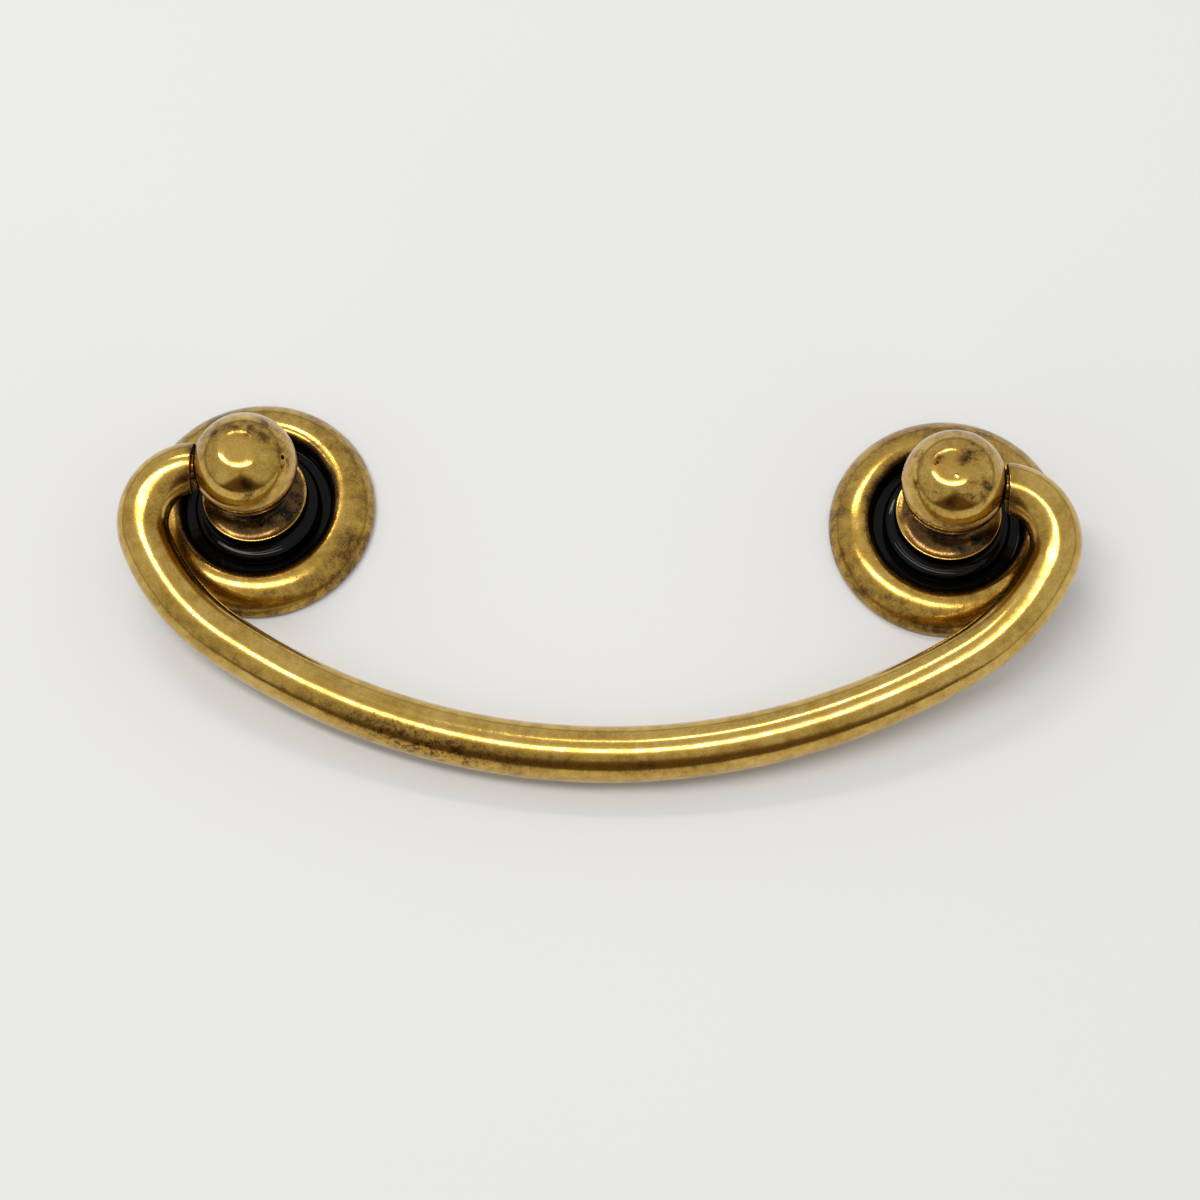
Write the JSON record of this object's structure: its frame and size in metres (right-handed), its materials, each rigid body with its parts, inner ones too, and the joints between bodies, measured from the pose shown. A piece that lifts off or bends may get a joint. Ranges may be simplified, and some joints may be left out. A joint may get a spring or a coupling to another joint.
{
  "type": "bail pull",
  "caption": "Drawer pull with a curved round bail that swings between two ball-headed posts, each on a dished round rosette, screwed from behind the drawer front.",
  "frame": {"origin": "midway between the two screw holes, on the mounting face", "axes": "+X along the row of the two posts, +Z out of the mounting face, the bail at rest towards -Y"},
  "size_m": [0.1038, 0.0446, 0.0181],
  "materials": {
    "rosette_brass": "aged, black in the dish",
    "post_brass": "aged, dark in the hollows",
    "bail_brass": "aged and rubbed bright"
  },
  "bodies": {
    "posts": {"left_rosette": "rosette_brass", "right_rosette": "rosette_brass", "left_post": "post_brass", "right_post": "post_brass"},
    "bail": {"bail": "bail_brass"}
  },
  "joints": [
    {"name": "bail_swing", "type": "hinge", "parent": "posts", "child": "bail", "pos_m": [0, 0, 0.0115], "axis": [-1, 0, 0], "range_deg": [0, 212]}
  ]
}
